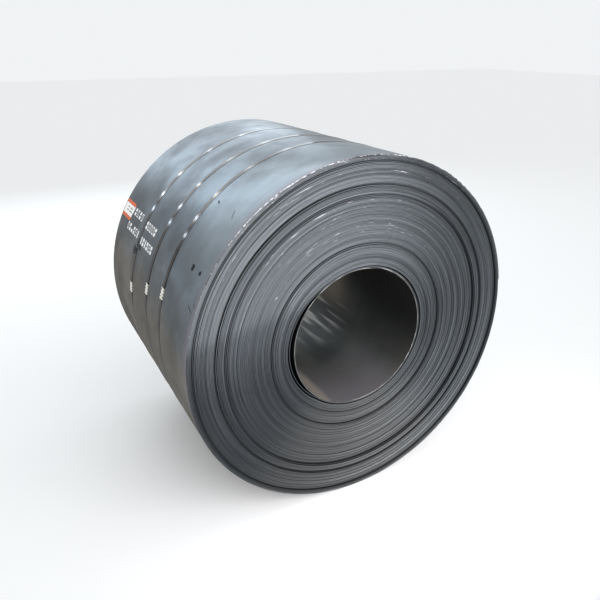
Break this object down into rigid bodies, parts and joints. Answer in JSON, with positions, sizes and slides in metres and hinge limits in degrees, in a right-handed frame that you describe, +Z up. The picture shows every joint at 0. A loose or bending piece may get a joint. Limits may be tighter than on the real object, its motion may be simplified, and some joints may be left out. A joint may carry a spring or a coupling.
{
  "type": "steel coil",
  "caption": "Coil of hot-rolled steel strip lying on its side, with an open bore for a mandrel or lifting ram, bound round its outside by crimped steel straps.",
  "frame": {"origin": "on the axis of the bore, halfway along the outermost turn", "axes": "+Y along the bore from the front end to the back end, +Z up, +X to the right as seen from the front; the coil lies on its straps at -Z"},
  "size_m": [1.8991, 1.5313, 1.9039],
  "materials": {
    "mill_scale_steel": "hot-rolled, thin blue-grey mill scale, satin",
    "strap_steel": "blued steel band, semi-gloss",
    "zinc_plated_seal": "zinc-plated, crimped",
    "label_paper": "matt paper label, blank"
  },
  "bodies": {
    "root": {"coil": "mill_scale_steel", "strap_front": "strap_steel", "strap_middle": "strap_steel", "strap_rear": "strap_steel", "seal_front": "zinc_plated_seal", "seal_middle": "zinc_plated_seal", "seal_rear": "zinc_plated_seal", "label": "label_paper"}
  },
  "joints": []
}
